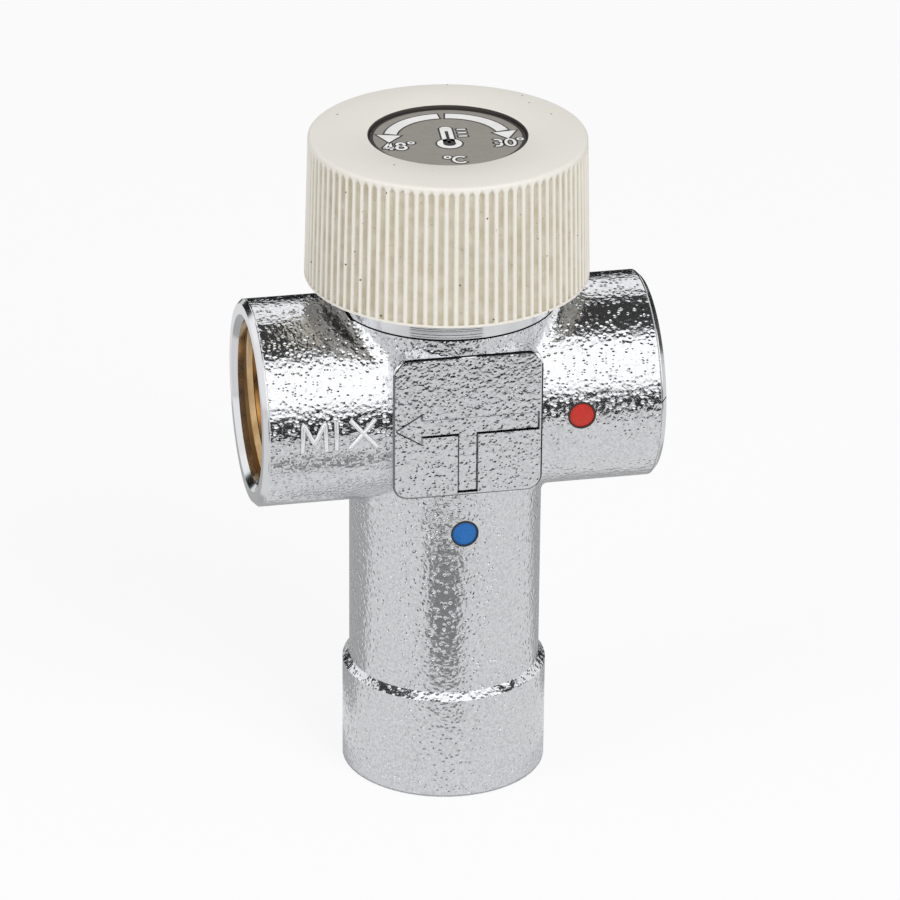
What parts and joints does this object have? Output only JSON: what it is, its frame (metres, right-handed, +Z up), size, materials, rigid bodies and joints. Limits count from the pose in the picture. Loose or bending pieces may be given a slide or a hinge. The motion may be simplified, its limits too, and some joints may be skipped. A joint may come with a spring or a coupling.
{
  "type": "thermostatic mixing valve",
  "caption": "Chrome tempering valve with threaded hot, cold and mixed ports, a fluted cream adjusting knob and an inner wax element that moves a sprung shuttle",
  "frame": {"origin": "centre of the cold inlet's bottom face, on the surface the valve stands on", "axes": "+Z up along the knob's and cold inlet's axis, +X out of the hot inlet, -Y out of the front pad with the tee arrow"},
  "size_m": [0.0644, 0.045, 0.1085],
  "materials": {
    "valve_body": "nickel-chrome plate over a coarse cast skin, bare brass inside the ports",
    "hot_marker": "red paint dot",
    "cold_marker": "blue paint dot",
    "bonnet": "turned and plated brass",
    "bonnet_o_ring": "black EPDM",
    "spindle": "turned brass",
    "spindle_o_ring_lower": "black EPDM",
    "spindle_o_ring_upper": "black EPDM",
    "thrust_washer": "white low-friction plastic",
    "spindle_clip": "stainless spring steel",
    "carriage": "turned brass",
    "plunger": "turned brass",
    "plunger_clip": "stainless spring steel",
    "overtravel_spring": "stainless wire",
    "wax_piston": "ground stainless rod",
    "wax_capsule": "drawn copper and brass, wax filled",
    "shuttle_sleeve": "glass-filled engineering plastic",
    "shuttle_o_ring": "black EPDM",
    "cold_disc": "glass-filled engineering plastic",
    "lock_nut": "brass hexagon nut",
    "return_spring": "stainless wire",
    "spring_retainer": "stamped stainless plate",
    "retaining_ring": "stainless spring steel",
    "knob": "cream moulded plastic, satin",
    "knob_screw": "zinc-plated screw",
    "knob_cap": "grey printed disc"
  },
  "bodies": {
    "casting": {"valve_body": "valve_body", "hot_marker": "hot_marker", "cold_marker": "cold_marker", "bonnet": "bonnet", "bonnet_o_ring": "bonnet_o_ring", "return_spring": "return_spring", "spring_retainer": "spring_retainer", "retaining_ring": "retaining_ring"},
    "control": {"knob": "knob", "knob_cap": "knob_cap", "knob_screw": "knob_screw", "spindle": "spindle", "spindle_o_ring_lower": "spindle_o_ring_lower", "spindle_o_ring_upper": "spindle_o_ring_upper", "thrust_washer": "thrust_washer", "spindle_clip": "spindle_clip"},
    "setting": {"carriage": "carriage", "plunger_clip": "plunger_clip", "overtravel_spring": "overtravel_spring"},
    "pusher": {"plunger": "plunger", "wax_piston": "wax_piston"},
    "shuttle": {"wax_capsule": "wax_capsule", "shuttle_sleeve": "shuttle_sleeve", "shuttle_o_ring": "shuttle_o_ring", "cold_disc": "cold_disc", "lock_nut": "lock_nut"}
  },
  "joints": [
    {"name": "knob_turn", "type": "hinge", "parent": "casting", "child": "control", "pos_m": [0, 0, 0.1], "axis": [0, 0, 1], "range_deg": [-110, 110]},
    {"name": "carriage_slide", "type": "slide", "parent": "casting", "child": "setting", "axis": [0, 0, 1], "range_m": [-0.00092, 0.00092]},
    {"name": "overtravel", "type": "slide", "parent": "setting", "child": "pusher", "axis": [0, 0, 1], "range_m": [0, 0.0015], "stiffness_N_per_m": 6000, "springref_m": -0.001, "deforming": ["overtravel_spring"]},
    {"name": "shuttle_slide", "type": "slide", "parent": "casting", "child": "shuttle", "axis": [0, 0, 1], "range_m": [-0.0006, 0.0006], "stiffness_N_per_m": 1500, "springref_m": 0.00015, "deforming": ["return_spring"]}
  ],
  "couplings": [
    {"joint": "carriage_slide", "follows": "knob_turn", "m_per_rad": 0.00047746}
  ]
}
